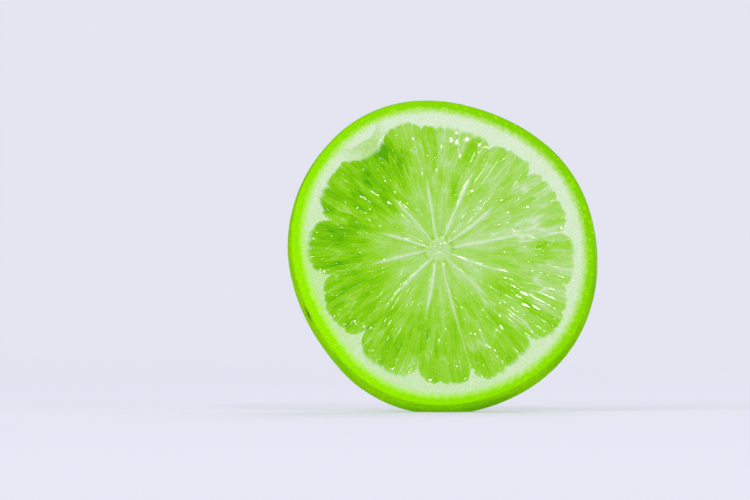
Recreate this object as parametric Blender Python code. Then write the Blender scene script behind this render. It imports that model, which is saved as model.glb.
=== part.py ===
"""A thick round slice of lime that stands on its rim on a small flat spot.

The world frame is in metres, +Z up. The slice stands on z = 0, with the
origin in the middle of its box. Its front cut face looks along -Y and leans
back a little. It is one solid, because skin, pith, core, membranes and pulp
grew as one piece. On both cut faces the pulp sits a little below the pith
and the membranes, in one pocket for each segment of the fruit.

In the slice's own frame the fruit's core is the Y axis, y = 0 is the front
cut face, and angles turn from +X towards +Z as seen from the front.
"""

import math

import bmesh
import bpy
from mathutils import Matrix, Vector

MM = 0.001

# The whole fruit, an ellipsoid about its core
FRUIT_RADIUS = 27.9 * MM
FRUIT_HALF_LENGTH = 31.0 * MM

# The slice, and how far behind its front face the fruit is widest
SLICE_THICKNESS = 11.0 * MM
FRONT_TO_EQUATOR = 7.0 * MM

# Stance: lean away from the front, and how deep the resting spot is pressed in
LEAN_DEG = 7.0
REST_SPOT_DEPTH = 0.5 * MM

# How the outline departs from a circle about the core:
# (waves round the outline, height of a wave, direction of the first crest in degrees)
OUTLINE_WAVES = (
    (1, 0.78 * MM, -27.0),
    (2, 0.70 * MM, -51.0),
    (3, 0.32 * MM, 14.0),
    (5, 0.18 * MM, 34.0),
)

# Layers of the cut face, from the outside in
SKIN_THICKNESS = 1.25 * MM
PITH_THICKNESS = 2.6 * MM
PITH_THICKENING = 0.8 * MM
PITH_THICK_SIDE_DEG = 75.0
CORE_RADIUS = 1.9 * MM

# Membranes between the segments: (direction at the core, direction at the pith) in degrees
MEMBRANES = (
    (13, 8),
    (36, 41),
    (70, 62),
    (100, 98),
    (130, 131),
    (164, 164),
    (188, 195),
    (222, 228),
    (256, 260),
    (286, 285),
    (318, 315),
    (340, 344),
)
MEMBRANE_THICKNESS = 0.5 * MM

# Pockets that the pulp fills: how far they are sunk, and how much lower
# their rounded shoulders are than the middle of their outer edge
POCKET_DEPTH = 0.35 * MM
SHOULDER_DROP = 2.4 * MM
SHOULDER_SHARPNESS = 5

# Fineness of the mesh
OUTLINE_STEPS = 144
RIM_STEPS = 8
POCKET_EDGE_STEPS = 12
POCKET_SIDE_STEPS = 3

SKIN_COLOUR = (0.20, 0.62, 0.01, 1.0)
SKIN_ROUGHNESS = 0.35


def clear_scene():
    for old in list(bpy.data.objects):
        bpy.data.objects.remove(old, do_unlink=True)


def make_material(name, colour, roughness):
    material = bpy.data.materials.new(name)
    material.use_nodes = True
    shader = material.node_tree.nodes["Principled BSDF"]
    shader.inputs["Base Color"].default_value = colour
    shader.inputs["Roughness"].default_value = roughness
    shader.inputs["Metallic"].default_value = 0.0
    return material


def outline_wave(angle):
    """How far the outline stands out from a circle in this direction."""
    total = 0.0
    for count, height, crest in OUTLINE_WAVES:
        total += height * math.cos(count * (angle - math.radians(crest)))
    return total


def skin_radius(angle, depth):
    """Distance from the core to the skin, at a depth behind the front face."""
    from_equator = (depth - FRONT_TO_EQUATOR) / FRUIT_HALF_LENGTH
    return FRUIT_RADIUS * math.sqrt(1.0 - from_equator ** 2) + outline_wave(angle)


def pulp_radius(angle, depth):
    """Distance from the core to the inner edge of the pith, on a cut face."""
    thick_side = math.cos(angle - math.radians(PITH_THICK_SIDE_DEG))
    pith = PITH_THICKNESS + PITH_THICKENING * max(thick_side, 0.0) ** 2
    return skin_radius(angle, depth) - SKIN_THICKNESS - pith


def membrane_angle(index, radius):
    """Direction of a membrane at a distance from the core, counted past a full turn."""
    turns, place = divmod(index, len(MEMBRANES))
    at_core, at_pith = MEMBRANES[place]
    share = min(radius / (FRUIT_RADIUS - SKIN_THICKNESS - PITH_THICKNESS), 1.0)
    return math.radians(at_core + (at_pith - at_core) * share + 360.0 * turns)


def polar_point(angle, radius, depth):
    return Vector((radius * math.cos(angle), depth, radius * math.sin(angle)))


def pocket_point(index, across, radius, depth):
    """A point of a segment, with across from -1 to 1 between its two membranes."""
    low = membrane_angle(index, radius)
    high = membrane_angle(index + 1, radius)
    room = (high - low) / 2.0 - MEMBRANE_THICKNESS / (2.0 * radius)
    return polar_point((low + high) / 2.0 + across * room, radius, depth)


def pocket_outline(index, face_depth):
    """The outline of one segment's pocket: outer edge, side, tip, side."""
    tip = CORE_RADIUS + MEMBRANE_THICKNESS
    outer = []
    for step in range(POCKET_EDGE_STEPS + 1):
        across = -1.0 + 2.0 * step / POCKET_EDGE_STEPS
        direction = pocket_point(index, across, FRUIT_RADIUS, face_depth)
        edge = pulp_radius(math.atan2(direction.z, direction.x), face_depth)
        radius = edge - SHOULDER_DROP * abs(across) ** SHOULDER_SHARPNESS
        outer.append((across, radius))
    corner_radius = outer[-1][1]
    down = []
    for step in range(1, POCKET_SIDE_STEPS + 1):
        share = step / POCKET_SIDE_STEPS
        down.append(corner_radius + (tip - corner_radius) * share)
    points = outer
    points += [(1.0, radius) for radius in down]
    points += [(-1.0, radius) for radius in reversed(down)]
    return [(across, radius) for across, radius in points]


def slice_mesh():
    """The whole slice as a closed barrel with two flat cut faces."""
    mesh = bmesh.new()
    rings = []
    for row in range(RIM_STEPS + 1):
        depth = SLICE_THICKNESS * row / RIM_STEPS
        ring = []
        for step in range(OUTLINE_STEPS):
            angle = math.tau * step / OUTLINE_STEPS
            ring.append(mesh.verts.new(polar_point(angle, skin_radius(angle, depth), depth)))
        rings.append(ring)
    for front, back in zip(rings, rings[1:]):
        for step in range(OUTLINE_STEPS):
            ahead = (step + 1) % OUTLINE_STEPS
            mesh.faces.new((front[step], front[ahead], back[ahead], back[step]))
    mesh.faces.new(rings[0])
    mesh.faces.new(rings[-1])
    bmesh.ops.recalc_face_normals(mesh, faces=mesh.faces)
    return mesh


def pocket_mesh():
    """One prism for each segment, sunk into the front face and into the back face."""
    mesh = bmesh.new()
    faces = (
        (0.0, POCKET_DEPTH),
        (SLICE_THICKNESS, SLICE_THICKNESS - POCKET_DEPTH),
    )
    for face_depth, floor_depth in faces:
        outside = face_depth + (face_depth - floor_depth)
        for index in range(len(MEMBRANES)):
            outline = pocket_outline(index, face_depth)
            floor = []
            lid = []
            for across, radius in outline:
                floor.append(mesh.verts.new(pocket_point(index, across, radius, floor_depth)))
                lid.append(mesh.verts.new(pocket_point(index, across, radius, outside)))
            mesh.faces.new(floor)
            mesh.faces.new(lid)
            for step in range(len(outline)):
                ahead = (step + 1) % len(outline)
                mesh.faces.new((floor[step], floor[ahead], lid[ahead], lid[step]))
    bmesh.ops.recalc_face_normals(mesh, faces=mesh.faces)
    return mesh


def ground_mesh():
    """A block whose top face is the ground, wide enough for any stance."""
    mesh = bmesh.new()
    side = 4.0 * FRUIT_RADIUS
    bmesh.ops.create_cube(mesh, size=side, matrix=Matrix.Translation((0.0, 0.0, -side / 2.0)))
    return mesh


def add_object(name, mesh):
    data = bpy.data.meshes.new(name)
    mesh.to_mesh(data)
    mesh.free()
    item = bpy.data.objects.new(name, data)
    bpy.context.scene.collection.objects.link(item)
    return item


def add_cutter(name, mesh, target):
    """A hidden solid that is cut out of the target."""
    cutter = add_object(name, mesh)
    cutter.hide_render = True
    cutter.display_type = "WIRE"
    modifier = target.modifiers.new(name, "BOOLEAN")
    modifier.operation = "DIFFERENCE"
    modifier.solver = "EXACT"
    modifier.object = cutter
    return cutter


def stance(item):
    """Leans the slice back and sets it on the ground, pressed in by the rest spot."""
    lean = Matrix.Rotation(-math.radians(LEAN_DEG), 4, "X")
    corners = [lean @ vertex.co for vertex in item.data.vertices]
    middle_x = (min(c.x for c in corners) + max(c.x for c in corners)) / 2.0
    middle_y = (min(c.y for c in corners) + max(c.y for c in corners)) / 2.0
    lowest = min(c.z for c in corners)
    item.rotation_euler = lean.to_euler()
    item.location = (-middle_x, -middle_y, -lowest - REST_SPOT_DEPTH)


def build_slice():
    lime_slice = add_object("lime_slice", slice_mesh())
    lime_slice.data.materials.append(make_material("lime", SKIN_COLOUR, SKIN_ROUGHNESS))
    stance(lime_slice)
    pockets = add_cutter("pulp_pockets", pocket_mesh(), lime_slice)
    pockets.location = lime_slice.location
    pockets.rotation_euler = lime_slice.rotation_euler
    add_cutter("ground", ground_mesh(), lime_slice)
    lime_slice.data.shade_smooth()
    lime_slice.data.set_sharp_from_angle(angle=math.radians(30.0))


clear_scene()
build_slice()
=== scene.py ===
"""The looks of one upright slice of lime: two wet cut faces and the dimpled skin between them.

Everything is shaped in the slice's own frame, as in the model: the core is the Y axis, y = 0 is the
front cut face, and angles turn from +X towards +Z as seen from the front. Lengths are in metres,
but for the tables that say millimetres.
"""

import math
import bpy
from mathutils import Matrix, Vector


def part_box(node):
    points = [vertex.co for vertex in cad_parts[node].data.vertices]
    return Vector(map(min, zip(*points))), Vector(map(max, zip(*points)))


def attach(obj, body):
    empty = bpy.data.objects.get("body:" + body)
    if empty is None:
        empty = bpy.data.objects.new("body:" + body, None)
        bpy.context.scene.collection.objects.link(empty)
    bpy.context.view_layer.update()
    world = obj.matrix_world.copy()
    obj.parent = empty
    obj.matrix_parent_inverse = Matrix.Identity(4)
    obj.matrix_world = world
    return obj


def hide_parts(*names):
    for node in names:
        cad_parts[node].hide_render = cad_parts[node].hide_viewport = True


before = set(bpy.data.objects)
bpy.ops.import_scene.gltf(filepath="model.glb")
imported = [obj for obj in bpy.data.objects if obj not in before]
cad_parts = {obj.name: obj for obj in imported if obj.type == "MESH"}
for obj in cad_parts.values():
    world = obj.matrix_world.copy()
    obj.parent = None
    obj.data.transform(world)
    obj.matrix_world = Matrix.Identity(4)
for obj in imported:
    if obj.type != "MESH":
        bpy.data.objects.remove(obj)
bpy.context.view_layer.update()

from types import SimpleNamespace

import bpy
import numpy as np
from mathutils import Matrix, Vector

MM = 0.001
NODE = "lime_slice"

# The fruit, the cut and the stance, as in the model
FRUIT_RADIUS = 27.9 * MM
FRUIT_HALF_LENGTH = 31.0 * MM
SLICE_THICKNESS = 11.0 * MM
FRONT_TO_EQUATOR = 7.0 * MM
LEAN_DEG = 7.0
OUTLINE_WAVES = (
    (1, 0.78 * MM, -27.0),
    (2, 0.70 * MM, -51.0),
    (3, 0.32 * MM, 14.0),
    (5, 0.18 * MM, 34.0),
)
SKIN_THICKNESS = 1.25 * MM
PITH_THICKNESS = 2.6 * MM
PITH_THICKENING = 0.8 * MM
PITH_THICK_SIDE_DEG = 75.0
CORE_RADIUS = 1.9 * MM

# Membranes: direction at the core and at the pith in degrees, then how the pale line looks on the
# cut face: where it starts and ends from the core, how bright and how wide it is, and how far the
# pith reaches in along it, all but the brightness in millimetres
AT_CORE, AT_PITH, LINE_START, LINE_END, LINE_BRIGHT, LINE_WIDTH, PITH_REACH = range(7)
MEMBRANES = np.array((
    (13, 8, 4.0, 15.0, 1.0, 0.36, 2.3),
    (36, 41, 2.0, 14.0, 0.9, 0.30, 2.2),
    (70, 62, 4.5, 16.0, 1.0, 0.34, 1.3),
    (100, 98, 2.0, 13.5, 0.8, 0.30, 0.8),
    (130, 131, 2.0, 13.5, 0.8, 0.24, 0.6),
    (164, 164, 2.5, 13.0, 0.8, 0.30, 2.6),
    (188, 195, 2.0, 14.5, 0.8, 0.24, 2.6),
    (222, 228, 3.0, 13.0, 0.8, 0.34, 2.8),
    (256, 260, 3.5, 13.0, 0.9, 0.36, 1.7),
    (286, 285, 3.0, 21.0, 0.7, 0.26, 2.7),
    (318, 315, 3.0, 12.0, 0.7, 0.36, 2.3),
    (340, 344, 3.0, 15.0, 0.7, 0.30, 1.2),
))
PITH_REACH_SHARPNESS = 6
MEMBRANE_WANDER = 0.35 * MM

# Shares of a line's start and end between which it fades in and out, and of its width at the ends
LINE_FADE_IN = (0.35, 0.95)
LINE_FADE_OUT = (0.72, 1.1)
LINE_THIN = 0.55

# A noise cell so long that the noise changes little on the way out from the core
FULL_LENGTH = 60.0 * MM

# Noises of a cut face: name, cells round the core, length of a cell on the way out
FACE_NOISES = (
    ("ragged", 380, 0.4 * MM),
    ("fibre", 420, 3.0 * MM),
    ("broad", 34, 6.0 * MM),
    ("patchy", 90, 2.6 * MM),
    ("lumps", 260, 0.7 * MM),
    ("swells_in", 84, 1.2 * MM),
    ("swells_out", 230, 1.15 * MM),
    ("soft", 26, FULL_LENGTH),
    ("core_edge", 14, FULL_LENGTH),
    ("grain", 22, 0.35 * MM),
)

# Where the pulp reaches further out or less far than on average: direction, by how many
# millimetres, half width in degrees
PULP_BULGES = (
    (104.0, 0.75, 8.0),
    (160.0, -0.25, 5.0),
    (180.0, 0.80, 9.0),
    (210.0, 0.85, 8.0),
    (259.0, -0.70, 4.0),
    (290.0, 0.70, 8.0),
    (308.0, -0.45, 6.0),
    (330.0, 0.75, 8.0),
)

# How the pulp's edge wanders: by how much, and cells round the core
EDGE_WAVES = ((0.22 * MM, 30), (0.14 * MM, 120))
EDGE_RAGGED = 0.13 * MM

# The edge between pulp and pith: how far inside it pith starts and is full, and how much wider
# that is where the edge is softest
PITH_STARTS = 0.12 * MM
PITH_FULL = -0.20 * MM
PITH_SOFTER = 2.6

# Juice sacs: rows of their middles, as distance from the core and number in 30 degrees
SAC_ROWS = (
    (20.6 * MM, 8),
    (16.6 * MM, 8),
    (12.4 * MM, 7),
    (8.6 * MM, 6),
    (5.2 * MM, 5),
)
SAC_ROW_JITTER = 1.6 * MM
SAC_SIDE_JITTER = 0.33
SAC_STRETCH = 5.0
SAC_DOME_WIDTH = 0.60 * MM
SAC_DOME_HEIGHT = 0.055 * MM
SAC_LIFT = 0.04 * MM
SAC_TILT = 0.055

# Their round ends at the pith: depth of the notches, its spread, furthest share of a notch that
# counts, sharpness, and how unevenly far the ends reach
SAC_END_DEPTH = 0.19 * MM
SAC_END_SPREAD = 0.8
SAC_END_CAP = 1.3
SAC_END_SHARPNESS = 2.4
SAC_END_JITTER = 0.07 * MM

# Heights and depths from the plane of the cut. The pulp is shallow at the pith, with this share of
# its depth at first, and everything is flat at the rim.
PULP_FLOOR = 0.16 * MM
PULP_SHALLOWS = 1.0 * MM
PULP_AT_PITH = 0.15
PATCHY_HEIGHT = 0.02 * MM
LINE_HEIGHT = -0.04 * MM
PITH_HEIGHT = -0.02 * MM
PITH_LUMPS = 0.012 * MM
FLAP_DEPTH = 0.14 * MM
FOLD_HEIGHT = 0.10 * MM
PIT_DEPTH = 0.16 * MM
CORE_HEIGHT = -0.06 * MM
CORE_GRAIN = 0.04 * MM
FLAT_AT_RIM = 0.7 * MM

# Gentle swells of the wet pulp that catch the light: their height, the share of it that is left
# near the core and how far out that ends, the share that is left over most of the face, and
# patches with a share of their own. A share below SWELL_CALM flattens the sacs there too.
# Patches of every kind are: direction, distance from the core, half width across, half length
# along, all three in millimetres, and then a strength or share.
SWELL_HEIGHT = 0.046 * MM
SWELL_NEAR_CORE = 0.35
SWELL_OUTWARD = (6.0 * MM, 15.0 * MM)
SWELL_CALM = 0.62
LIVELY_PATCHES = (
    (82, 20.0, 3.2, 3.2, 0.8),
    (72, 12.0, 3.0, 3.0, 1.0),
    (328, 18.0, 4.0, 4.0, 0.62),
    (262, 16.0, 4.0, 4.0, 1.1),
    (292, 17.0, 4.0, 4.0, 1.0),
    (148, 19.0, 4.5, 4.5, 0.2),
    (156, 12.0, 4.5, 4.5, 0.22),
    (165, 17.0, 3.5, 3.5, 0.35),
    (335, 9.0, 5.0, 5.0, 0.25),
)

# Wet facets of plump sacs, as patches with no strength
FACETS = (
    (81.4, 21.4, 0.38, 0.66),
    (83.6, 19.9, 0.48, 0.8),
    (80.6, 19.7, 0.38, 1.1),
    (75.8, 20.6, 0.52, 0.94),
    (69, 20.2, 0.34, 0.85),
    (65.4, 20.4, 0.34, 0.46),
    (77.4, 17.3, 0.3, 0.9),
    (88.5, 18.5, 0.26, 1.0),
    (103, 20.6, 0.32, 0.6),
    (61, 12.0, 0.34, 0.7),
    (26, 17.6, 0.46, 0.56),
    (329, 20.2, 0.36, 1.3),
    (327, 18.2, 0.34, 1.2),
    (317.5, 17.4, 0.24, 1.0),
    (313.5, 13.5, 0.26, 0.8),
    (308.5, 18.0, 0.28, 0.8),
    (298.5, 21.8, 0.24, 0.6),
    (297, 16.4, 0.24, 0.6),
    (291, 22.2, 0.22, 0.5),
    (291, 11.2, 0.24, 0.5),
    (278.5, 21.1, 0.26, 0.5),
    (275, 14.3, 0.2, 1.0),
    (275, 20.4, 0.24, 0.45),
    (270, 16.4, 0.2, 1.0),
    (265.5, 18.3, 0.22, 0.8),
    (256, 21.3, 0.24, 0.6),
    (246, 15.8, 0.26, 0.4),
    (237, 21.6, 0.26, 0.4),
    (229, 18.6, 0.24, 0.7),
    (226, 19.3, 0.24, 1.0),
    (220.5, 19.8, 0.28, 0.8),
    (146, 17.0, 0.26, 0.32),
    (157, 13.5, 0.28, 0.32),
)

# All the facets of a face fall away by the same slopes along +X and +Z, so they shine together
FACET_SLOPE_FRONT = (0.117, 0.187)
FACET_SLOPE_BACK = (-0.073, 0.338)
FACET_FLATNESS = 3
FACET_SINK = 0.08 * MM

# Small facets at random, along the pulp's edge and then all over the pulp: how many, their half
# widths, how far they are in from the edge or out from the core, and their length to their width
EDGE_FACETS = 40
EDGE_FACET_SIZES = (0.16 * MM, 0.30 * MM)
EDGE_FACET_REACH = (-0.2 * MM, 1.6 * MM)
EDGE_FACET_LENGTH = 1.2
STRAY_FACETS = 110
STRAY_FACET_SIZES = (0.15 * MM, 0.24 * MM)
STRAY_FACET_PLACES = (8.0 * MM, 21.0 * MM)
STRAY_FACET_LENGTH = 2.2

# A see-through skin of a sac beside the pith at the upper left, as the cut tore it:
# directions between which it fades in and out, how far it reaches in over the pulp, and how far
# out it ends
FLAP_IN_DEG = (112.0, 121.5)
FLAP_OUT_DEG = (125.0, 139.0)
FLAP_REACH = 2.3 * MM
FLAP_ENDS = (2.9 * MM, 2.55 * MM)

# The wet fold at the flap's end, raised and with a painted highlight along it: direction and distance
# from the core of its two ends, half width
FLAP_FOLD = ((120.0, 21.9 * MM), (115.0, 22.7 * MM), 0.17 * MM)

# Patches where the pulp is clear and deep, or below 0 where it is paler than elsewhere
DEEP_PATCHES = (
    (119, 19.0, 1.8, 3.6, 0.3),
    (138, 19.5, 2.5, 3.5, 0.12),
    (76, 10.0, 0.7, 3.2, 0.3),
    (139, 12.0, 0.5, 2.4, 0.22),
    (171, 20.5, 2.4, 2.8, -0.07),
    (330, 13.0, 1.3, 2.6, 0.2),
    (291, 21.6, 1.6, 2.4, 0.16),
    (308, 10.5, 0.5, 2.0, 0.2),
    (2, 21.0, 2.2, 2.6, 0.1),
    (262, 19.0, 3.0, 3.0, 0.1),
)

# The back face has the same deep patches and chosen facets, this much further round
BACK_PATCH_TURN_DEG = 155.0

# How pale the pulp is, from 0 for clear and deep to 1 for membrane: near the core, then at the
# pith on average, its rise toward one side, and its rise toward two opposite sides
PALE_INSIDE = 0.73
PALE_OUTSIDE = 0.49
PALE_TURN = 0.196
PALE_TURN_DEG = 12.0
PALE_FOLD = 0.063
PALE_FOLD_DEG = 42.0
PALE_FADE = (17.0 * MM, 5.0 * MM)

# How much paler or deeper each kind of streak is, the part of the walls' tone that is even, and
# how the streaks grow on the way out
BROAD_TONE = 0.09
PATCHY_TONE = 0.06
FIBRE_TONE = 0.045
SAC_TONE = 0.080
WALL_TONE = 0.22
WALL_HALF_WIDTH = 0.11 * MM
WALL_EVEN = 0.10
STREAKS_AT_CORE = 0.25
STREAK_RISES = ((0.75, 5.0 * MM, 13.0 * MM), (0.55, 14.0 * MM, 20.0 * MM))
PIT_TONE = 0.26
LINE_PALE = 1.15
LINE_STRENGTH = 0.8
CORE_PALE = 0.85
CORE_TONE = 0.13

# The core's ragged edge, and the small pits around it between the membranes
CORE_RAGGED = 0.16
CORE_FADE = (0.45 * MM, -0.35 * MM)
PIT_FROM_CORE = 0.45 * MM
PIT_HALF_WIDTH = 0.42 * MM
PIT_BESIDE_MEMBRANE = 0.20 * MM

# The pith is white all round, most of all on its thick side, but for one greener side:
# direction, half width in radians, depth
PITH_WHITENESS = 0.78
PITH_WHITER = 0.18
PITH_GREEN_DEG = 195.0
PITH_GREEN_WIDTH = 0.50
PITH_GREEN_DEPTH = 0.44

# Painted shade: the cut skin, the zone under it and the rind are painted darker towards one side, as if
# that side were in shade, and lighter on the lit side opposite. The cut skin also reaches further in
# over the pith on another side
SHADED_SIDE_DEG = 35.0
WIDE_SKIN_DEG = 200.0
WIDE_SKIN = 0.35 * MM
WIDE_SKIN_WIDTH = 0.8

# The rounded cut edge, and oil glands of the skin
EDGE_ROUND = 0.25 * MM
GLAND_SPACING = 0.95 * MM
GLAND_RADIUS = 0.34 * MM
GLAND_DEPTH = 0.075 * MM
GLAND_JITTER = 0.36
SKIN_SWELL = 0.11 * MM
SKIN_PEBBLES = 0.018 * MM
MARK_DEPTH = 0.10 * MM
SKIN_CALM_EDGE = 0.6 * MM

# Blemishes of the skin, as patches with the depth behind the front face for their distance
BLEMISHES = (
    (206, 1.7, 1.2, 1.0, 0.9),
    (229, 2.2, 0.9, 0.15, 0.45),
    (232.5, 3.0, 0.5, 0.12, 0.4),
    (236, 6.0, 0.22, 0.22, 0.8),
    (64, 7.5, 0.35, 0.25, 0.5),
    (118, 5.0, 0.8, 0.12, 0.35),
    (22, 8.4, 0.25, 0.25, 0.6),
    (345, 4.4, 0.5, 0.14, 0.4),
    (293, 5.0, 3.6, 2.2, 0.22),
    (287, 6.5, 1.6, 0.9, 0.35),
)

# Fineness of the meshes: columns round the core, which halve up to four times on the way in, and
# bands of rings on a cut face, as outer end and distance between rings
COLUMNS = 1200
MOST_HALVINGS = 4
RING_STEPS = (
    (2.6 * MM, 0.12 * MM),
    (13.9 * MM, 0.24 * MM),
    (20.0 * MM, 0.26 * MM),
    (24.6 * MM, 0.19 * MM),
    (FRUIT_RADIUS - EDGE_ROUND, 0.35 * MM),
)
EDGE_ROWS = 4
SKIN_ROWS = 52
HIDDEN_GAP = 0.02 * MM

UV_MAP = "OFBake"
SEED = 20


# ----- shape of the fruit


def outline_wave(angle):
    """How far the outline stands out from a circle in this direction."""
    total = 0.0
    for count, height, crest in OUTLINE_WAVES:
        total = total + height * np.cos(count * (angle - math.radians(crest)))
    return total


def skin_radius(angle, depth):
    """Distance from the core to the skin, at a depth behind the front face."""
    from_equator = (depth - FRONT_TO_EQUATOR) / FRUIT_HALF_LENGTH
    return FRUIT_RADIUS * np.sqrt(1.0 - from_equator ** 2) + outline_wave(angle)


def pulp_radius(angle, depth):
    """Distance from the core to the inner edge of the pith, on a cut face."""
    thick_side = np.maximum(np.cos(angle - math.radians(PITH_THICK_SIDE_DEG)), 0.0)
    pith = PITH_THICKNESS + PITH_THICKENING * thick_side ** 2
    return skin_radius(angle, depth) - SKIN_THICKNESS - pith


def polar_points(angle, radius, depth):
    return np.stack([radius * np.cos(angle), depth, radius * np.sin(angle)], axis=1)


def smoothstep(low, high, value):
    share = np.clip((value - low) / (high - low), 0.0, 1.0)
    return share * share * (3.0 - 2.0 * share)


def hump(distance, width):
    """1 at no distance, falling smoothly to nearly 0 at twice the width."""
    return np.exp(-((distance / width) ** 2))


def turn_apart(angle, direction_deg):
    """The turn from a direction to each angle, in radians from -pi to pi."""
    return (angle - math.radians(direction_deg) + math.pi) % math.tau - math.pi


def near_patch(angle, from_core, place, direction, at, half_across, half_along):
    """How near each point, at a place out from the core or back in depth, is to a patch: 0 to 1."""
    aside = turn_apart(angle, direction) * from_core
    return hump(aside, half_across * MM) * hump(place - at * MM, half_along * MM)


def smooth_noise(rng, angle, along, count, cell):
    """Noise from -1 to 1: `count` cells round the core, and cells this long the other way."""
    rows = int(np.ptp(along) / cell) + 3
    knots = rng.uniform(-1.0, 1.0, (count, rows))
    across = (angle / math.tau % 1.0) * count
    up = (along - along.min()) / cell
    column = np.floor(across).astype(int)
    row = np.floor(up).astype(int)
    right = smoothstep(0.0, 1.0, across - column)
    above = smoothstep(0.0, 1.0, up - row)
    column = column % count
    ahead = (column + 1) % count
    low = knots[column, row] * (1 - right) + knots[ahead, row] * right
    high = knots[column, row + 1] * (1 - right) + knots[ahead, row + 1] * right
    return low * (1 - above) + high * above


# ----- the cut face


def segment_places(angle, radius):
    """For each point: its segment, its place across it from -1 to 1, and the segment's half width."""
    at_core = MEMBRANES[:, AT_CORE]
    at_pith = MEMBRANES[:, AT_PITH]
    reach = FRUIT_RADIUS - SKIN_THICKNESS - PITH_THICKNESS
    share = np.minimum(radius / reach, 1.0)[:, None]
    directions = at_core + (at_pith - at_core) * share
    past = (np.degrees(angle)[:, None] - directions) % 360.0
    segment = past.argmin(axis=1)
    point = np.arange(len(segment))
    ahead = directions[point, (segment + 1) % len(MEMBRANES)]
    span = (ahead - directions[point, segment]) % 360.0
    across = 2.0 * past[point, segment] / span - 1.0
    return segment, across, np.radians(span) / 2.0 * radius


def membrane_values(segment, across, column):
    """A property of the membrane that is nearest to each point."""
    nearest = np.where(across < 0.0, segment, segment + 1) % len(MEMBRANES)
    return MEMBRANES[nearest, column]


def grow_sacs(rng):
    """The juice sacs of every segment: place across, distance from the core, and four random traits."""
    segments = []
    for index, membrane in enumerate(MEMBRANES):
        ahead = MEMBRANES[(index + 1) % len(MEMBRANES)]
        span = (ahead[AT_PITH] - membrane[AT_PITH]) % 360.0
        sacs = []
        for row_radius, in_30_degrees in SAC_ROWS:
            count = max(2, round(in_30_degrees * span / 30.0))
            for place in range(count):
                side = place + 0.5 + rng.uniform(-SAC_SIDE_JITTER, SAC_SIDE_JITTER)
                out = row_radius + rng.uniform(-SAC_ROW_JITTER, SAC_ROW_JITTER)
                sacs.append((2.0 * side / count - 1.0, out, *rng.uniform(-1.0, 1.0, 4)))
        outer = max(2, round(SAC_ROWS[0][1] * span / 30.0))
        segments.append((np.array(sacs), outer))
    return segments


def sac_places(segments, segment, across, half_width, radius):
    """For each point: distance to the wall of its sac, the sac's traits, and the place in the sac."""
    wall, side, out = np.zeros((3, len(radius)))
    traits = np.zeros((len(radius), 4))
    for index, (sacs, _) in enumerate(segments):
        here = np.flatnonzero(segment == index)
        across_gap = (across[here, None] - sacs[None, :, 0]) * half_width[here, None]
        out_gap = (radius[here, None] - sacs[None, :, 1]) / SAC_STRETCH
        far = across_gap ** 2 + out_gap ** 2
        order = np.argpartition(far, 1, axis=1)[:, :2]
        row = np.arange(len(here))
        swap = far[row, order[:, 0]] > far[row, order[:, 1]]
        nearest = np.where(swap, order[:, 1], order[:, 0])
        second = np.where(swap, order[:, 0], order[:, 1])
        apart = np.hypot(
            (sacs[nearest, 0] - sacs[second, 0]) * half_width[here],
            (sacs[nearest, 1] - sacs[second, 1]) / SAC_STRETCH,
        )
        wall[here] = (far[row, second] - far[row, nearest]) / (2.0 * np.maximum(apart, 0.05 * MM))
        traits[here] = sacs[nearest, 2:]
        side[here] = across_gap[row, nearest]
        out[here] = radius[here] - sacs[nearest, 1]
    return wall, traits, side, out


def flap_share(angle, depth):
    """How much of the flap there is in this direction, from 0 to 1. Only the front face has it."""
    turned = np.degrees(angle) % 360.0
    share = smoothstep(*FLAP_IN_DEG, turned) * (1.0 - smoothstep(*FLAP_OUT_DEG, turned))
    return share * (depth == 0.0)


def pith_whiteness(angle):
    """How white the pith is in this direction, from 0 for green to 1."""
    greener = PITH_GREEN_DEPTH * hump(turn_apart(angle, PITH_GREEN_DEG), PITH_GREEN_WIDTH)
    thick_side = np.cos(turn_apart(angle, PITH_THICK_SIDE_DEG))
    return PITH_WHITENESS + PITH_WHITER * thick_side - greener


def flap_fold(angle, radius):
    """How near a point is to the wet fold at the end of the flap, from 0 to 1."""
    (turn_from, from_core), (turn_to, to_core), half_width = FLAP_FOLD
    start = from_core * np.exp(1j * math.radians(turn_from))
    end = to_core * np.exp(1j * math.radians(turn_to))
    point = radius * np.exp(1j * angle) - start
    along = (point * np.conj(end - start)).real / abs(end - start) ** 2
    gap = abs(point - np.clip(along, 0.0, 1.0) * (end - start))
    return hump(gap, half_width * (0.6 + 0.4 * np.clip(along, 0.0, 1.0)))


def add_facet(height, points, slope, direction, out_to, half_across, half_along):
    """Replaces the height around one place with a small plane of this slope.

    The points are complex numbers, with the real part along +X and the imaginary part along +Z.
    """
    toward = np.exp(1j * math.radians(direction))
    offsets = points - out_to * toward
    near = np.flatnonzero(abs(offsets) < 2.0 * max(half_across, half_along))
    offset = offsets[near]
    local = offset * np.conj(toward)
    reach = (local.imag / half_across) ** 2 + (local.real / half_along) ** 2
    window = np.exp(-(reach ** FACET_FLATNESS))
    plane = -(offset.real * slope[0] + offset.imag * slope[1])
    height[near] += (plane - FACET_SINK - height[near]) * window


def add_facets(rng, height, at):
    """The chosen facets, then the small ones at random."""
    points = at.radius * np.exp(1j * at.angle)
    slope = FACET_SLOPE_BACK if at.depth else FACET_SLOPE_FRONT
    for direction, *place in FACETS:
        lengths = [length * MM for length in place]
        add_facet(height, points, slope, direction + at.turned_deg, *lengths)
    for direction in rng.uniform(0.0, 360.0, EDGE_FACETS):
        size = rng.uniform(*EDGE_FACET_SIZES)
        out_to = pulp_radius(math.radians(direction), at.depth) - rng.uniform(*EDGE_FACET_REACH)
        add_facet(height, points, slope, direction, out_to, size, EDGE_FACET_LENGTH * size)
    for direction in rng.uniform(0.0, 360.0, STRAY_FACETS):
        size = rng.uniform(*STRAY_FACET_SIZES)
        out_to = rng.uniform(*STRAY_FACET_PLACES)
        add_facet(height, points, slope, direction, out_to, size, STRAY_FACET_LENGTH * size)


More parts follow.
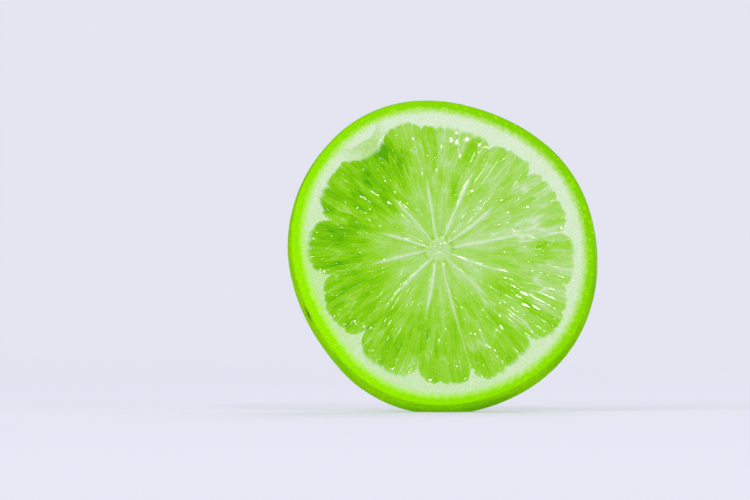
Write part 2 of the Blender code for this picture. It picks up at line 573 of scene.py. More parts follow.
def pulp_edge(rng, segments, segment, across, angle, radius, depth):
    """Where the pulp ends in this direction: scalloped by the sacs' round ends, notched by pith."""
    edge = pulp_radius(angle, depth)
    for reach, count in EDGE_WAVES:
        edge = edge + reach * smooth_noise(rng, angle, radius, count, FULL_LENGTH)
    for direction, reach, half_width_deg in PULP_BULGES:
        bulge = hump(turn_apart(angle, direction), math.radians(half_width_deg))
        edge = edge + reach * MM * bulge
    reach = membrane_values(segment, across, PITH_REACH) * MM
    edge -= reach * np.abs(across) ** PITH_REACH_SHARPNESS
    for index, (sacs, outer) in enumerate(segments):
        here = np.flatnonzero(segment == index)
        gaps = np.abs(across[here, None] - sacs[None, :outer, 0])
        nearest = gaps.argmin(axis=1)
        share = np.minimum(gaps.min(axis=1) * outer, SAC_END_CAP)
        notch = SAC_END_DEPTH * (1.0 + SAC_END_SPREAD * sacs[nearest, 2])
        edge[here] -= notch * share ** SAC_END_SHARPNESS - SAC_END_JITTER * sacs[nearest, 3]
    return edge - FLAP_REACH * flap_share(angle, depth)


def membrane_line(segment, across, beside, radius):
    """How strongly the pale line of the nearest membrane shows, from 0 to 1."""
    bright = membrane_values(segment, across, LINE_BRIGHT)
    columns = (LINE_START, LINE_END, LINE_WIDTH)
    start, end, width = (membrane_values(segment, across, column) * MM for column in columns)
    shown = smoothstep(start * LINE_FADE_IN[0], start * LINE_FADE_IN[1], radius)
    shown = shown * (1.0 - smoothstep(end * LINE_FADE_OUT[0], end * LINE_FADE_OUT[1], radius))
    middle = (start + end) / 2.0
    thick = width * (LINE_THIN + (1.0 - LINE_THIN) * hump(radius - middle, 0.35 * (end - start)))
    return bright * shown * hump(beside, thick)


def face_places(rng, angle, radius, depth):
    """Where each point of a cut face lies among membranes, sacs, pith and core, and its noises."""
    at = SimpleNamespace(angle=angle, radius=radius, depth=depth)
    at.turned_deg = BACK_PATCH_TURN_DEG if depth else 0.0
    turns = MEMBRANE_WANDER * smooth_noise(rng, angle, radius, 24, 7.0 * MM)
    bent = angle + turns / np.maximum(radius, 2.0 * MM)
    segment, across, half_width = segment_places(bent, radius)
    segments = grow_sacs(rng)
    wall, at.traits, at.side, at.out = sac_places(segments, segment, across, half_width, radius)
    edge = pulp_edge(rng, segments, segment, across, angle, radius, depth)
    for name, count, cell in FACE_NOISES:
        setattr(at, name, smooth_noise(rng, angle, radius, count, cell))
    at.beside = (1.0 - np.abs(across)) * half_width
    at.nearest_wall = np.minimum(wall, at.beside)
    at.inside = edge - radius + EDGE_RAGGED * at.ragged
    at.line = membrane_line(segment, across, at.beside, radius)
    at.from_core = radius - CORE_RADIUS * (1.0 + CORE_RAGGED * at.core_edge)
    return at


def lively_share(at):
    """How much of the swells' height is left at each point."""
    lively = np.full(len(at.radius), SWELL_CALM)
    for *patch, share in LIVELY_PATCHES:
        lively += (share - lively) * near_patch(at.angle, at.radius, at.radius, *patch)
    return lively


def pulp_height(at):
    """Height of the pulp: domed and tilted sacs with swells on them, and flat along the lines."""
    lively = lively_share(at)
    near_core = at.swells_in * SWELL_NEAR_CORE
    swells = near_core + (at.swells_out - near_core) * smoothstep(*SWELL_OUTWARD, at.radius)
    share = np.clip(at.nearest_wall / SAC_DOME_WIDTH, 0.0, 1.0)
    dome = SAC_DOME_HEIGHT * (1.0 - (1.0 - share) ** 2)
    tilt = SAC_TILT * (at.traits[:, 2] * at.side + at.traits[:, 3] * at.out / SAC_STRETCH)
    relief = (dome + SAC_LIFT * at.traits[:, 0] + tilt) * np.minimum(lively / SWELL_CALM, 1.0)
    away = smoothstep(0.0, PULP_SHALLOWS, at.inside)
    height = (relief - PULP_FLOOR) * (PULP_AT_PITH + (1.0 - PULP_AT_PITH) * away)
    height += SWELL_HEIGHT * swells * lively * away + PATCHY_HEIGHT * at.patchy
    ridge = np.clip(at.line * 1.2, 0.0, 1.0)
    return height + (LINE_HEIGHT - height) * ridge * 0.85


def core_pits(at):
    """How much of a pit there is at each point: some sacs that end at the core are hollow."""
    pit = hump(at.from_core - PIT_FROM_CORE, PIT_HALF_WIDTH)
    pit = pit * (1.0 - hump(at.beside, PIT_BESIDE_MEMBRANE))
    return pit * smoothstep(-0.3, 0.9, at.traits[:, 1] + 0.5 * at.patchy)


def pulp_paleness(at, pit, core):
    """How pale each point is, from 0 for clear pulp to 1 for membrane."""
    pale = PALE_OUTSIDE + PALE_TURN * np.cos(turn_apart(at.angle, PALE_TURN_DEG))
    pale += PALE_FOLD * np.cos(2.0 * turn_apart(at.angle, PALE_FOLD_DEG))
    pale += (PALE_INSIDE - pale) * smoothstep(*PALE_FADE, at.radius)
    streaky = STREAKS_AT_CORE
    for rise, start, end in STREAK_RISES:
        streaky = streaky + rise * smoothstep(start, end, at.radius)
    walls = hump(at.nearest_wall, WALL_HALF_WIDTH) * (WALL_EVEN + (1.0 - WALL_EVEN) * at.patchy)
    streaks = FIBRE_TONE * at.fibre + SAC_TONE * at.traits[:, 1] + WALL_TONE * walls
    pale += BROAD_TONE * at.broad + PATCHY_TONE * at.patchy + streaky * streaks
    turned = at.angle - math.radians(at.turned_deg)
    for *patch, strength in DEEP_PATCHES:
        pale -= strength * near_patch(turned, at.radius, at.radius, *patch)
    pale = np.clip(pale - PIT_TONE * pit, 0.0, 1.0)
    pale += (LINE_PALE - pale) * np.clip(at.line, 0.0, 1.0) * LINE_STRENGTH
    return pale + (CORE_PALE + CORE_TONE * at.grain * at.patchy - pale) * core


# Painted shade: 1 on the side painted darker as if in shade, 0 on the lit side opposite
def shaded_side_share(angle):
    return 0.5 + 0.5 * np.cos(turn_apart(angle, SHADED_SIDE_DEG))


def cut_surface(rng, angle, radius, depth, edge_radius):
    """Height above the plane of the cut, and the traits that colour each point of it."""
    at = face_places(rng, angle, radius, depth)
    soft = 1.0 + PITH_SOFTER * smoothstep(0.0, 0.7, at.soft)
    pith = smoothstep(PITH_STARTS * soft, PITH_FULL * soft, at.inside)
    flap = flap_share(angle, depth) * smoothstep(*FLAP_ENDS, -at.inside) * pith
    fold = flap_fold(angle, radius) * (depth == 0.0)
    core = smoothstep(*CORE_FADE, at.from_core)
    pit = core_pits(at)

    pith_height = PITH_HEIGHT + PATCHY_HEIGHT * at.patchy + PITH_LUMPS * at.lumps
    pith_height -= FLAP_DEPTH * flap * (1.0 + 0.6 * at.patchy) - FOLD_HEIGHT * fold
    height = pulp_height(at)
    height += (pith_height - height) * pith
    height -= PIT_DEPTH * pit
    add_facets(rng, height, at)
    height += (CORE_HEIGHT + CORE_GRAIN * at.grain - height) * core

    return {
        "height": height * smoothstep(0.0, FLAT_AT_RIM, edge_radius - radius),
        "pale": pulp_paleness(at, pit, core),
        "pith": pith,
        "flap": flap,
        "fold": fold,
        "white": pith_whiteness(angle),
        # painted shade: how far each point is towards the side painted darker
        "shaded_side": shaded_side_share(angle),
    }


def face_rings():
    """Each ring of a cut face from the core out: columns, and distance from the core if round."""
    rings = []
    radius = 0.0
    for end, step in RING_STEPS:
        count = round((end - radius) / step)
        for place in range(1, count + 1):
            at = radius + (end - radius) * place / count
            halvings = 0
            while halvings < MOST_HALVINGS and at < FRUIT_RADIUS / 2 ** (halvings + 1):
                halvings += 1
            rings.append((COLUMNS // 2 ** halvings, at))
        radius = end
    return rings


def join_rings(rings, faces):
    """Adds the faces between neighbouring rings, each (first vertex, count). Counts may halve."""
    for (low, few), (high, many) in zip(rings, rings[1:]):
        if few == 1:
            faces += [(low, high + j, high + (j + 1) % many) for j in range(many)]
        elif many == 1:
            faces += [(low + j, high, low + (j + 1) % few) for j in range(few)]
        elif few == many:
            for j in range(few):
                ahead = (j + 1) % few
                faces.append((low + j, high + j, high + ahead, low + ahead))
        elif many == 2 * few:
            for j in range(few):
                ahead = (j + 1) % few
                a, b, c = high + 2 * j, high + 2 * j + 1, high + (2 * j + 2) % many
                faces += [(low + j, a, b), (low + j, b, low + ahead), (low + ahead, b, c)]
        else:
            for j in range(many):
                ahead = (j + 1) % many
                a, b, c = low + 2 * j, low + 2 * j + 1, low + (2 * j + 2) % few
                faces += [(a, high + j, b), (b, high + j, high + ahead), (b, high + ahead, c)]


def cut_face(name, depth, inward, seed):
    """A cut face with its rounded edge, closed behind: inward is 1 on the front and -1 on the back."""
    rng = np.random.default_rng(seed)
    rings = [(1, 0.0, EDGE_ROUND, 0.0)]
    round_radius = FRUIT_RADIUS - EDGE_ROUND
    for columns, radius in face_rings():
        rings.append((columns, radius / round_radius, EDGE_ROUND, 0.0))
    flat_count = len(rings)
    for row in range(1, EDGE_ROWS + 1):
        turn = math.pi / 2.0 * row / EDGE_ROWS
        inset = EDGE_ROUND * (1.0 - math.sin(turn))
        rings.append((COLUMNS, 1.0, inset, EDGE_ROUND * (1.0 - math.cos(turn))))
    shown_count = len(rings)
    inner = SKIN_THICKNESS + HIDDEN_GAP
    behind = SLICE_THICKNESS / 2.0 - HIDDEN_GAP
    rings.append((COLUMNS // 2, 1.0, inner, EDGE_ROUND))
    rings.append((COLUMNS // 4, 1.0, inner, behind))
    rings.append((COLUMNS // 8, 0.5, inner, behind))
    rings.append((1, 0.0, inner, behind))

    parts = []
    starts = []
    total = 0
    for columns, share, inset, sink in rings:
        angle = math.tau * np.arange(columns) / columns
        edge = skin_radius(angle, depth + inward * sink) - inset
        parts.append((angle, share * edge, np.full(columns, sink)))
        starts.append((total, columns))
        total += columns
    angle, radius, sink = (np.concatenate(part) for part in zip(*parts))

    flat = sum(columns for columns, *_ in rings[:flat_count])
    edge_radius = skin_radius(angle, depth) - EDGE_ROUND
    traits = cut_surface(rng, angle, radius, depth, edge_radius)
    sink[:flat] -= traits.pop("height")[:flat]
    wider = WIDE_SKIN * hump(turn_apart(angle, WIDE_SKIN_DEG), WIDE_SKIN_WIDTH)
    traits["rim"] = (skin_radius(angle, depth) - radius - wider) / MM
    points = polar_points(angle, radius, depth + inward * sink)

    faces = []
    join_rings(starts[:shown_count], faces)
    shown_faces = len(faces)
    join_rings(starts[shown_count - 1:], faces)
    if inward < 0:
        faces = [face[::-1] for face in faces]

    piece = make_piece(name, points, faces, traits)
    corners = np.empty(len(piece.data.loops), int)
    piece.data.loops.foreach_get("vertex_index", corners)
    places = points[corners][:, [0, 2]] / (2.1 * skin_radius(angle, depth).max())
    hidden = sum(len(face) for face in faces[:shown_faces])
    places[:hidden] += 0.5
    places[hidden:] = 0.06 + 0.08 * places[hidden:]
    lay_out(piece, places)
    return piece


# ----- the skin


def nearest_glands(rng, angle, depth):
    """Distance from each point of the skin to the middle of the nearest oil gland, and its trait."""
    count = round(math.tau * FRUIT_RADIUS / GLAND_SPACING)
    rows = round(SLICE_THICKNESS / GLAND_SPACING) + 2
    jitter = rng.uniform(-GLAND_JITTER, GLAND_JITTER, (count, rows, 2))
    trait = rng.uniform(0.0, 1.0, (count, rows))
    column = np.floor(angle / math.tau * count).astype(int)
    row = np.floor(depth / GLAND_SPACING).astype(int) + 1
    best = np.full(len(angle), np.inf)
    found = np.zeros(len(angle))
    for column_step in (-1, 0, 1):
        for row_step in (-1, 0, 1):
            c = (column + column_step) % count
            r = np.clip(row + row_step, 0, rows - 1)
            side = (column + column_step + 0.5 + jitter[c, r, 0]) * math.tau / count
            along = (row + row_step - 0.5 + jitter[c, r, 1]) * GLAND_SPACING
            gap = np.hypot((angle - side) * FRUIT_RADIUS, depth - along)
            closer = gap < best
            best = np.where(closer, gap, best)
            found = np.where(closer, trait[c, r], found)
    return best, found


def skin_piece():
    """The skin between the two cut edges, closed on its inner side."""
    rng = np.random.default_rng(SEED + 2)
    angle_row = math.tau * np.arange(COLUMNS) / COLUMNS
    low = EDGE_ROUND
    high = SLICE_THICKNESS - EDGE_ROUND
    angle = np.tile(angle_row, SKIN_ROWS + 1)
    depth = np.repeat(np.linspace(low, high, SKIN_ROWS + 1), COLUMNS)
    gap, trait = nearest_glands(rng, angle, depth)
    calm = smoothstep(0.0, SKIN_CALM_EDGE, np.minimum(depth - low, high - depth))
    gland = hump(gap, GLAND_RADIUS * (0.75 + 0.5 * trait))
    swell = smooth_noise(rng, angle, depth, 26, 5.0 * MM)
    pebble = smooth_noise(rng, angle, depth, 300, 0.6 * MM)
    relief = SKIN_SWELL * swell + SKIN_PEBBLES * pebble - GLAND_DEPTH * (0.5 + 0.5 * trait) * gland
    mottle = smooth_noise(rng, angle, depth, 60, 3.0 * MM)
    mark = np.zeros(len(angle))
    for *patch, strength in BLEMISHES:
        spot = near_patch(angle, FRUIT_RADIUS, depth, *patch)
        mark = np.maximum(mark, strength * np.minimum(spot * 1.6, 1.0))
    relief -= MARK_DEPTH * mark
    radius = skin_radius(angle, depth) + calm * relief

    inner_depth = np.repeat([high, low], COLUMNS)
    inner_angle = np.tile(angle_row, 2)
    inner_radius = skin_radius(inner_angle, inner_depth) - SKIN_THICKNESS
    angle = np.concatenate([angle, inner_angle])
    radius = np.concatenate([radius, inner_radius])
    depth = np.concatenate([depth, inner_depth])
    points = polar_points(angle, radius, depth)
    pad = np.zeros(2 * COLUMNS)
    traits = {"gland": gland, "gland_trait": trait, "mottle": mottle, "mark": mark}
    traits = {name: np.concatenate([values, pad]) for name, values in traits.items()}
    # painted shade: how far each point is towards the side painted darker
    traits["shaded_side"] = shaded_side_share(angle)

    faces = []
    row_count = SKIN_ROWS + 3
    for row in range(row_count):
        here = row * COLUMNS
        there = (row + 1) % row_count * COLUMNS
        for j in range(COLUMNS):
            ahead = (j + 1) % COLUMNS
            faces.append((here + j, here + ahead, there + ahead, there + j))
    piece = make_piece("skin", points, faces, traits)
    lay_out(piece, skin_places(len(piece.data.loops)))
    return piece


def skin_places(corner_count):
    """Lays the rim out as four strips, one above the other, and the hidden inner side in a fifth."""
    face, corner = np.divmod(np.arange(corner_count), 4)
    row, column = np.divmod(face, COLUMNS)
    ahead = np.isin(corner, (1, 2))
    above = np.isin(corner, (2, 3))
    quarter = COLUMNS // 4
    strip = column // quarter
    u = (column % quarter + ahead) / quarter
    v = (strip + 0.03 + 0.94 * (row + above) / SKIN_ROWS) / 5.0
    hidden = row >= SKIN_ROWS
    v = np.where(hidden, (4.1 + 0.2 * (row - SKIN_ROWS + above)) / 5.0, v)
    u = np.where(hidden, (column + ahead) / COLUMNS, u)
    return np.stack([0.01 + 0.98 * u, v], axis=1)


# ----- pieces in the frame


def slice_matrix():
    """Where the slice's own frame stands: leaned back, mid of the model's box, top to top."""
    lowest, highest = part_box(NODE)
    lean = Matrix.Rotation(-math.radians(LEAN_DEG), 4, "X")
    corners = []
    for depth in np.linspace(0.0, SLICE_THICKNESS, 9):
        for angle in np.linspace(0.0, math.tau, 720, endpoint=False):
            radius = float(skin_radius(angle, depth))
            point = Vector((radius * math.cos(angle), depth, radius * math.sin(angle)))
            corners.append(lean @ point)
    middle_x = (min(c.x for c in corners) + max(c.x for c in corners)) / 2.0
    middle_y = (min(c.y for c in corners) + max(c.y for c in corners)) / 2.0
    top = max(c.z for c in corners)
    place = Vector((
        (lowest.x + highest.x) / 2.0 - middle_x,
        (lowest.y + highest.y) / 2.0 - middle_y,
        highest.z - top,
    ))
    return Matrix.Translation(place) @ lean


def standing(points):
    """The points in the slice's stance, with what would reach below the ground pressed flat on it."""
    world = points @ np.array(PLACED.to_3x3()).T + np.array(PLACED.to_translation())
    world[:, 2] = np.maximum(world[:, 2], 0.0)
    return world


def make_piece(name, points, faces, traits):
    """A smooth mesh object in the slice's place, with its traits as point attributes."""
    mesh = bpy.data.meshes.new(name)
    mesh.from_pydata(standing(points).tolist(), [], faces)
    for key, values in traits.items():
        attribute = mesh.attributes.new(key, "FLOAT", "POINT")
        attribute.data.foreach_set("value", values.astype(np.float32))
    mesh.shade_smooth()
    mesh.set_sharp_from_angle(angle=math.radians(60.0))
    piece = bpy.data.objects.new(name, mesh)
    bpy.context.scene.collection.objects.link(piece)
    return piece


def lay_out(piece, places):
    """Gives the piece its flat map, with one place for each corner of each face."""
    layer = piece.data.uv_layers.new(name=UV_MAP)
    layer.uv.foreach_set("vector", places.astype(np.float32).ravel())


# ----- materials


class Nodes:
    """Short calls that build the nodes of a material or a world.

    A number, a tuple or another node's output may feed a socket. A colour is a tuple of three.
    """

    def __init__(self, owner):
        owner.use_nodes = True
        self.owner = owner
        self.tree = owner.node_tree

    def feed(self, socket, value):
        if isinstance(value, bpy.types.NodeSocket):
            self.tree.links.new(value, socket)
        elif socket.type == "RGBA":
            socket.default_value = (*value, 1.0)
        else:
            socket.default_value = value

    def set(self, name, value):
        self.feed(self.tree.nodes["Principled BSDF"].inputs[name], value)

    def new(self, kind, sockets=None, **settings):
        """A node with these settings, and with what feeds its sockets, by name or number."""
        node = self.tree.nodes.new("ShaderNode" + kind)
        for name, setting in settings.items():
            setattr(node, name, setting)
        for key, value in (sockets or {}).items():
            self.feed(node.inputs[key], value)
        return node

    def trait(self, name):
        return self.new("Attribute", attribute_name=name).outputs["Fac"]

    def math(self, operation, first, second=0.0, clamp=False):
        sockets = {0: first, 1: second}
        return self.new("Math", sockets, operation=operation, use_clamp=clamp).outputs[0]

    def times(self, first, second):
        return self.math("MULTIPLY", first, second)

    def vector(self, operation, first, second=(0.0, 0.0, 0.0)):
        node = self.new("VectorMath", {0: first, 1: second}, operation=operation)
        return node.outputs["Value" if operation == "LENGTH" else "Vector"]

    def step(self, value, low, high, to_low=0.0, to_high=1.0):
        """Changes smoothly from one value to another, as this value goes from low to high."""
        sockets = {"Value": value, "From Min": low, "From Max": high}
        sockets.update({"To Min": to_low, "To Max": to_high})
        return self.new("MapRange", sockets, interpolation_type="SMOOTHSTEP").outputs["Result"]

    def ramp(self, value, stops):
        node = self.new("ValToRGB", {"Fac": value})
        elements = node.color_ramp.elements
        while len(elements) < len(stops):
            elements.new(0.5)
        for element, (place, colour) in zip(elements, stops):
            element.position = place
            element.color = (*colour, 1.0)
        return node.outputs["Color"]

    def sway(self, value, noise, reach, clamp=False):
        """The value, raised and lowered alike by a noise: `reach` from its lowest to its highest."""
        offset = self.times(self.math("SUBTRACT", noise, 0.5), reach)
        return self.math("ADD", value, offset, clamp)

    def mix(self, share, first, second):
        return self.new("Mix", {0: share, 6: first, 7: second}, data_type="RGBA").outputs[2]

    def noise(self, place, scale, detail=2.0, roughness=0.5):
        sockets = {"Vector": place, "Scale": scale, "Detail": detail, "Roughness": roughness}
        return self.new("TexNoise", sockets).outputs["Fac"]

    def cells(self, place, scale):
        """Distance to the middle of the nearest cell, and that cell's random colour."""
        node = self.new("TexVoronoi", {"Vector": place, "Scale": scale})
        return node.outputs["Distance"], node.outputs["Color"]

    def channel(self, colour, index):
        return self.new("SeparateColor", {0: colour}).outputs[index]

    def bump(self, height, distance, under=None):
        node = self.new("Bump", {"Height": height, "Distance": distance, "Strength": 1.0})
        if under is not None:
            self.feed(node.inputs["Normal"], under)
        return node.outputs["Normal"]

    def coordinates(self):
        """Places in millimetres in the slice's own frame."""
        sockets = {
            "Vector": self.new("TexCoord").outputs["Object"],
            "Location": PLACED.to_translation(),
            "Rotation": PLACED.to_euler(),
            "Scale": (MM, MM, MM),
        }
        return self.new("Mapping", sockets, vector_type="TEXTURE").outputs["Vector"]

    def fan(self, place, around, along):
        """A place that fans out from the core: `around` cells in a radian, `along` in a millimetre."""
        flat = self.vector("MULTIPLY", place, (1.0, 0.0, 1.0))
        wide = self.vector("MULTIPLY", self.vector("NORMALIZE", flat), (around, around, around))
        out = self.times(self.vector("LENGTH", flat), along)
        return self.vector("ADD", wide, self.new("CombineXYZ", {"Y": out}).outputs[0])


# Colours of the cut skin: its lit colour, and a darker one for random deep patches and for painted
# shade towards one side, its glands and grain, and the zone under it, lit and in painted shade
FLAVEDO = (0.325, 0.88, 0.0008)
FLAVEDO_DEEP_TONE_AND_SHADE = (0.225, 0.65, 0.0008)
FLAVEDO_GLANDS = (0.42, 0.90, 0.004)
FLAVEDO_GRAIN = (0.16, 0.50, 0.001)
UNDER_FLAVEDO = (0.47, 0.89, 0.10)
UNDER_FLAVEDO_SHADED = (0.41, 0.74, 0.10)

# Where the cut skin and the zone under it end and start to fade, from the outside in millimetres
FLAVEDO_ENDS = (1.60, 0.95)
UNDER_FLAVEDO_ENDS = (2.50, 1.50)
FLAVEDO_WANDER = 3.2

PITH_GREEN = (0.46, 0.78, 0.19)
PITH_WHITE = (0.70, 0.83, 0.61)
PITH_PORES = (0.46, 0.69, 0.29)
PITH_THREADS = (0.86, 0.93, 0.80)
TORN_DEEP = (0.40, 0.70, 0.14)
TORN_PALE = (0.52, 0.77, 0.30)
# painted highlight along the wet fold at the flap's end
FOLD_PAINTED_HIGHLIGHT = (0.88, 0.95, 0.80)
# Pale dots and specks on the pulp: partly bubbles and bits of membrane, partly painted glints
BUBBLES_AND_PAINTED_GLINTS = (0.86, 0.95, 0.66)
SPECKS_AND_PAINTED_GLINTS = (0.80, 0.93, 0.58)
PULP_STOPS = (
    (0.00, (0.095, 0.42, 0.0003)),
    (0.18, (0.172, 0.55, 0.0005)),
    (0.36, (0.250, 0.65, 0.0020)),
    (0.54, (0.325, 0.70, 0.0400)),
    (0.72, (0.410, 0.73, 0.1450)),
    (0.88, (0.520, 0.77, 0.3200)),
    (1.00, (0.660, 0.83, 0.5200)),
)

# Colours of the rind on its lit side and on its side in painted shade, each pair from the deep to the
# light end of its mottling
RIND_LIT_SIDE = ((0.31, 0.88, 0.0008), (0.42, 0.96, 0.001))
RIND_SHADED_SIDE = ((0.22, 0.66, 0.0008), (0.33, 0.82, 0.001))
RIND_CLOUDS = (0.42, 0.91, 0.0015)
RIND_GLANDS = (0.13, 0.50, 0.001)
RIND_SPECKS = (0.52, 0.92, 0.006)
RIND_MARKS = (0.05, 0.14, 0.008)


def pulp_colour(n, place, grain, fine, soft):
    """Colour by paleness, with fibres that fan out from the core, and pale bubble dots and fine specks
    that are partly real bits of pulp and partly painted glints.
    """
    cloud = n.noise(place, 0.6, 3.0, 0.6)
    pale = n.sway(n.trait("pale"), n.noise(n.fan(place, 36.0, 0.22), 1.0, 3.0, 0.6), 0.28)
    pale = n.sway(pale, fine, 0.30)
    pale = n.sway(pale, cloud, 0.16)
    pale = n.sway(pale, grain, 0.42)
    pulp = n.ramp(pale, PULP_STOPS)

    # Pale dots: partly bubbles in the juice, partly painted glints
    distance, chance = n.cells(n.fan(place, 34.0, 0.9), 1.0)
    size = n.math("ADD", n.times(n.channel(chance, 1), 0.22), 0.10)
    few = n.step(n.channel(chance, 0), 0.66, 0.76)
    bubbles_and_glints = n.times(n.step(distance, size, 0.04), few)
    bubbles_and_glints = n.times(bubbles_and_glints, n.step(cloud, 0.44, 0.60, 0.12, 0.95))
    pulp = n.mix(bubbles_and_glints, pulp, BUBBLES_AND_PAINTED_GLINTS)

    # Fine pale specks: partly bits of pulp, partly painted glints
    distance, chance = n.cells(n.fan(place, 60.0, 1.5), 1.0)
    few = n.step(n.channel(chance, 0), 0.72, 0.80)
    specks = n.times(n.step(distance, 0.32, 0.06), few)
    specks = n.times(specks, n.step(soft, 0.42, 0.58, 0.10, 0.75))
    return n.mix(specks, pulp, SPECKS_AND_PAINTED_GLINTS)


def pith_colour(n, sponge, grain, soft):
    """White or greenish pith with pores and threads, the torn sac's skin that lies over it, and a
    painted highlight along the fold at the skin's end.
    """
    share = n.sway(n.trait("white"), soft, 0.6)
    share = n.sway(share, sponge, 0.5, clamp=True)
    pith = n.mix(share, PITH_GREEN, PITH_WHITE)
    pith = n.mix(n.step(grain, 0.52, 0.36, 0.0, 0.50), pith, PITH_PORES)
    pith = n.mix(n.step(grain, 0.54, 0.66, 0.0, 0.70), pith, PITH_THREADS)
    torn = n.mix(n.step(sponge, 0.40, 0.62), TORN_DEEP, TORN_PALE)
    pith = n.mix(n.times(n.trait("flap"), 0.9), pith, torn)
    # painted highlight along the wet fold at the flap's end
    return n.mix(n.times(n.trait("fold"), 0.8), pith, FOLD_PAINTED_HIGHLIGHT)


def flavedo_colour(n, place, sponge, grain):
    """The cut edge of the skin, with light glands in it and painted shade that darkens it towards one
    side.
    """
    flavedo = n.mix(n.trait("shaded_side"), FLAVEDO, FLAVEDO_DEEP_TONE_AND_SHADE)
    glands = n.cells(place, 1.05)[0]
    flavedo = n.mix(n.step(glands, 0.42, 0.18, 0.0, 0.5), flavedo, FLAVEDO_GLANDS)
    flavedo = n.mix(n.step(sponge, 0.52, 0.74, 0.0, 0.5), flavedo, FLAVEDO_DEEP_TONE_AND_SHADE)
    return n.mix(n.step(grain, 0.45, 0.72, 0.0, 0.35), flavedo, FLAVEDO_GRAIN)


def flesh_material():
    """Wet pulp, matt pith and the cut edge of the skin, blended by the traits of the cut face."""
    n = Nodes(bpy.data.materials.new("cut_flesh"))
    place = n.coordinates()
    fine = n.noise(n.fan(place, 90.0, 0.7), 1.0, 2.0, 0.6)
    sponge = n.noise(place, 2.4, 4.0, 0.65)
    grain = n.noise(place, 3.6, 3.0, 0.75)
    soft = n.noise(place, 0.45, 2.0)

    pulp = pulp_colour(n, place, grain, fine, soft)
    colour = n.mix(n.trait("pith"), pulp, pith_colour(n, sponge, grain, soft))
    rim = n.sway(n.trait("rim"), n.noise(place, 1.2, 6.0, 0.85), FLAVEDO_WANDER)
    # painted shade: the zone under the cut skin is painted darker towards one side
    under = n.mix(n.trait("shaded_side"), UNDER_FLAVEDO, UNDER_FLAVEDO_SHADED)
    colour = n.mix(n.step(rim, *UNDER_FLAVEDO_ENDS), colour, under)
    flavedo = flavedo_colour(n, place, sponge, grain)
    n.set("Base Color", n.mix(n.step(rim, *FLAVEDO_ENDS), colour, flavedo))

    wet = n.math("SUBTRACT", 1.0, n.trait("pith"), clamp=True)
    wet = n.math("MAXIMUM", wet, n.times(n.trait("flap"), 0.8))
    n.set("Roughness", n.step(wet, 0.0, 1.0, 0.50, 0.16))
    n.set("Specular IOR Level", n.step(wet, 0.0, 1.0, 0.0, 0.30))
    n.set("IOR", 1.40)
    n.set("Coat Weight", wet)
    n.set("Coat Roughness", 0.05)
    n.set("Coat IOR", 1.5)

    spongy = n.bump(n.times(sponge, n.trait("pith")), 0.05 * MM)
    n.set("Normal", n.bump(n.times(fine, wet), 0.005 * MM, under=spongy))
    return n.owner


def skin_material():
    """Waxy green rind: deeper in the oil glands, with mottling, a few marks and painted shade that
    darkens it towards one side.
    """
    n = Nodes(bpy.data.materials.new("rind_skin"))
    place = n.coordinates()
    gland = n.trait("gland")
    mottle = n.step(n.trait("mottle"), -0.8, 0.8)
    # painted shade: the rind is painted darker towards one side and lighter on the lit side
    colour = n.mix(n.trait("shaded_side"), n.mix(mottle, *RIND_LIT_SIDE), n.mix(mottle, *RIND_SHADED_SIDE))
    clouds = n.noise(place, 0.13, 3.0)
    colour = n.mix(n.step(clouds, 0.35, 0.65, 0.0, 0.4), colour, RIND_CLOUDS)
    deep = n.times(gland, n.step(n.trait("gland_trait"), -0.4, 1.2, 0.12, 0.55))
    colour = n.mix(deep, colour, RIND_GLANDS)
    specks = n.noise(place, 3.0, 3.0, 0.6)
    colour = n.mix(n.step(specks, 0.56, 0.72, 0.0, 0.30), colour, RIND_SPECKS)
    patchy = n.step(n.noise(place, 1.8, 3.0), 0.30, 0.60, 0.40, 1.0)
    colour = n.mix(n.times(n.trait("mark"), patchy), colour, RIND_MARKS)
    n.set("Base Color", colour)
    n.set("Roughness", n.step(gland, 0.0, 1.0, 0.34, 0.48))
    n.set("Specular IOR Level", 0.0)
    n.set("Coat Weight", 0.40)
    n.set("Coat Roughness", 0.20)
    n.set("Normal", n.bump(n.noise(place, 5.0, 3.0, 0.6), 0.03 * MM))
    return n.owner


# ----- floor, light and camera

CORE_LEFT_OF_VIEW = 11.4 * MM
CAMERA_DISTANCE = 1.40
CAMERA_LENS_MM = 375.0
SENSOR_WIDTH_MM = 36.0
FLOOR_STEPS = 96
FLOOR_RADIUS = 0.9
FLOOR_SOFT_FROM = 0.12
BACKDROP = (0.775, 0.783, 0.876)
AMBIENT = (0.44, 0.44, 0.45)
FLOOR_COLOUR = (0.51, 0.51, 0.57)
FLOOR_GLOW = (0.34, 0.34, 0.39)

# Square lights that face the slice: name, azimuth (0 in front, growing to the right), elevation,
# distance, side, power in watts
LIGHTS = (
    ("key", -42.0, 38.0, 2.2, 1.2, 9.0),
    ("low_left", -44.0, 7.0, 2.2, 1.0, 6.5),
    ("fill", 48.0, 25.0, 2.4, 1.3, 4.5),
    ("low_right", 40.0, 7.0, 2.4, 1.0, 3.5),
    ("glint_high", 15.0, 35.0, 2.0, 0.28, 5.5),
    ("glint_left", -22.0, 27.0, 2.0, 0.22, 2.0),
    ("behind", 165.0, 45.0, 2.2, 1.2, 9.0),
    ("side", 118.0, 50.0, 2.2, 0.8, 3.5),
    ("glint_back", 145.0, 3.0, 2.0, 0.30, 4.0),
)


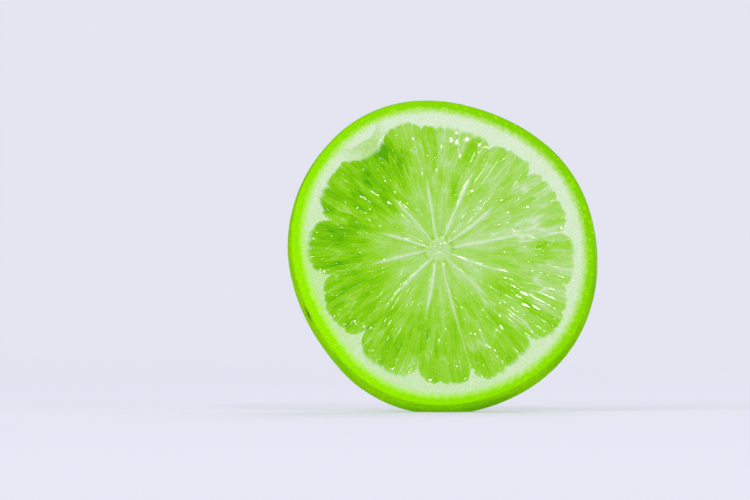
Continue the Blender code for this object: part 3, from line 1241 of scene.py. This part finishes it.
def make_floor():
    """A wide pale disc, lit a little from below like a light table, that fades into the backdrop."""
    mesh = bpy.data.meshes.new("floor")
    points = [(0.0, 0.0, 0.0)]
    for step in range(FLOOR_STEPS):
        turn = math.tau * step / FLOOR_STEPS
        points.append((FLOOR_RADIUS * math.cos(turn), FLOOR_RADIUS * math.sin(turn), 0.0))
    faces = [(0, 1 + step, 1 + (step + 1) % FLOOR_STEPS) for step in range(FLOOR_STEPS)]
    mesh.from_pydata(points, [], faces)
    floor = bpy.data.objects.new("floor", mesh)
    bpy.context.scene.collection.objects.link(floor)

    n = Nodes(bpy.data.materials.new("pale_floor"))
    n.tree.nodes.remove(n.tree.nodes["Principled BSDF"])
    diffuse = n.new("BsdfDiffuse", {"Color": FLOOR_COLOUR})
    glow = n.new("Emission", {"Color": FLOOR_GLOW, "Strength": 1.0})
    lit = n.new("AddShader", {0: diffuse.outputs[0], 1: glow.outputs[0]})
    clear = n.new("BsdfTransparent")
    from_middle = n.vector("LENGTH", n.new("TexCoord").outputs["Object"])
    fade = n.step(from_middle, FLOOR_SOFT_FROM, FLOOR_RADIUS * 0.97)
    shown = n.new("MixShader", {0: fade, 1: lit.outputs[0], 2: clear.outputs[0]})
    n.feed(n.tree.nodes["Material Output"].inputs["Surface"], shown.outputs[0])
    mesh.materials.append(n.owner)
    floor.visible_glossy = False


def make_backdrop():
    """One pale colour all round, and a weaker one that lights the slice."""
    world = bpy.data.worlds.new("backdrop")
    bpy.context.scene.world = world
    n = Nodes(world)
    seen = n.tree.nodes["Background"]
    n.feed(seen.inputs["Color"], BACKDROP)
    lighting = n.new("Background", {"Color": AMBIENT})
    by_camera = n.new("LightPath").outputs["Is Camera Ray"]
    both = n.new("MixShader", {0: by_camera, 1: lighting.outputs[0], 2: seen.outputs[0]})
    n.feed(n.tree.nodes["World Output"].inputs["Surface"], both.outputs[0])
    world.cycles_visibility.glossy = False


def make_lights():
    for name, azimuth, elevation, distance, side, power in LIGHTS:
        turn = math.radians(azimuth)
        rise = math.radians(elevation)
        level = Vector((math.sin(turn), -math.cos(turn), 0.0))
        away = level * math.cos(rise) + Vector((0.0, 0.0, math.sin(rise)))
        light = bpy.data.lights.new(name, "AREA")
        light.size = side
        light.energy = power
        box = bpy.data.objects.new(name, light)
        box.location = Vector((0.0, 0.0, FRUIT_RADIUS)) + away * distance
        box.rotation_euler = away.to_track_quat("Z", "Y").to_euler()
        box.visible_camera = False
        bpy.context.scene.collection.objects.link(box)


def make_camera():
    """Level with the core and far away, with the core to the right of the middle of the picture."""
    data = bpy.data.cameras.new("camera")
    data.sensor_width = SENSOR_WIDTH_MM
    data.lens = CAMERA_LENS_MM
    data.clip_start = 0.05
    data.clip_end = 20.0
    camera = bpy.data.objects.new("camera", data)
    core = PLACED.to_translation()
    camera.location = (core.x - CORE_LEFT_OF_VIEW, -CAMERA_DISTANCE, core.z)
    camera.rotation_euler = (math.radians(90.0), 0.0, 0.0)
    bpy.context.scene.collection.objects.link(camera)
    bpy.context.scene.camera = camera
    bpy.context.scene.view_settings.view_transform = "Standard"


PLACED = slice_matrix()
front = cut_face("cut_face_front", 0.0, 1, SEED)
back = cut_face("cut_face_back", SLICE_THICKNESS, -1, SEED + 1)
skin = skin_piece()

flesh = flesh_material()
front.data.materials.append(flesh)
back.data.materials.append(flesh)
skin.data.materials.append(skin_material())

for piece, slot in ((front, "pulp"), (back, "pulp"), (skin, "rind")):
    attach(piece, "root")
    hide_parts(NODE)

make_floor()
make_backdrop()
make_lights()
make_camera()
